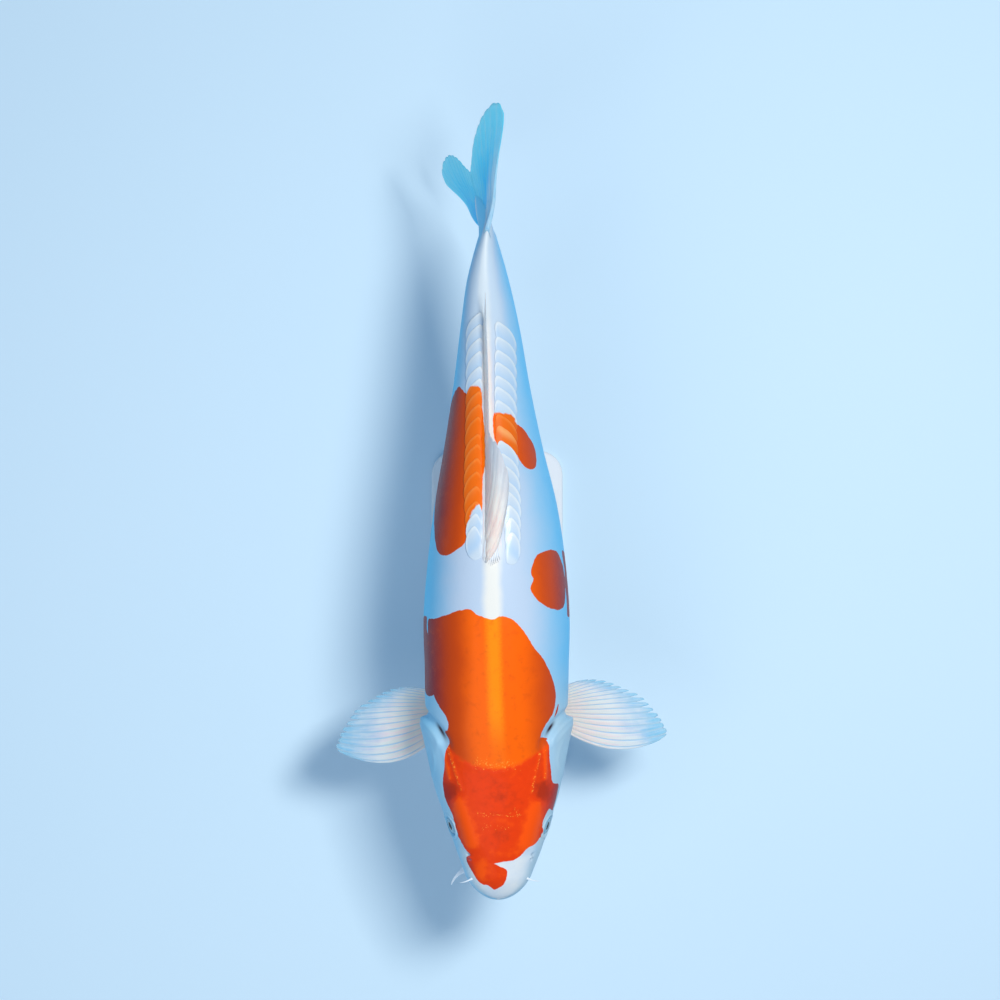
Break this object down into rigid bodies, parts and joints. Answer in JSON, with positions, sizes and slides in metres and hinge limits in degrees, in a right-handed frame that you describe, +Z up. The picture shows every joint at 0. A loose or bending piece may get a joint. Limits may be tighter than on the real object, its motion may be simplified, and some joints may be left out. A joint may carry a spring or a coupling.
{
  "type": "koi carp model",
  "caption": "Life-size still model of a white koi carp with orange-red markings, seen swimming, held over a flat base by short rods",
  "frame": {"origin": "the middle of the underside of the stand's base", "axes": "+Y from the snout to the tail, +Z up through the back, +X towards the fish's own left"},
  "size_m": [0.2954, 0.6927, 0.2783],
  "materials": {
    "white_skin": "wet, smooth skin, white with orange-red markings",
    "fin_skin": "thin translucent membrane with pale rays",
    "eye_dark": "clear, wet",
    "painted_base": "satin",
    "steel": "satin"
  },
  "bodies": {
    "root": {"head": "white_skin", "lower_jaw": "white_skin", "gill_cover_left": "white_skin", "gill_cover_right": "white_skin", "trunk": "white_skin", "tail_stalk": "white_skin", "eye_left": "eye_dark", "eye_right": "eye_dark", "barbel_long_left": "white_skin", "barbel_long_right": "white_skin", "barbel_short_left": "white_skin", "barbel_short_right": "white_skin", "pectoral_fin_left": "fin_skin", "pectoral_fin_right": "fin_skin", "pelvic_fin_left": "fin_skin", "pelvic_fin_right": "fin_skin", "dorsal_fin": "fin_skin", "anal_fin": "fin_skin", "tail_fin_upper": "fin_skin", "tail_fin_lower": "fin_skin", "stand_base": "painted_base", "stand_rod_front": "steel", "stand_rod_rear": "steel"}
  },
  "joints": []
}
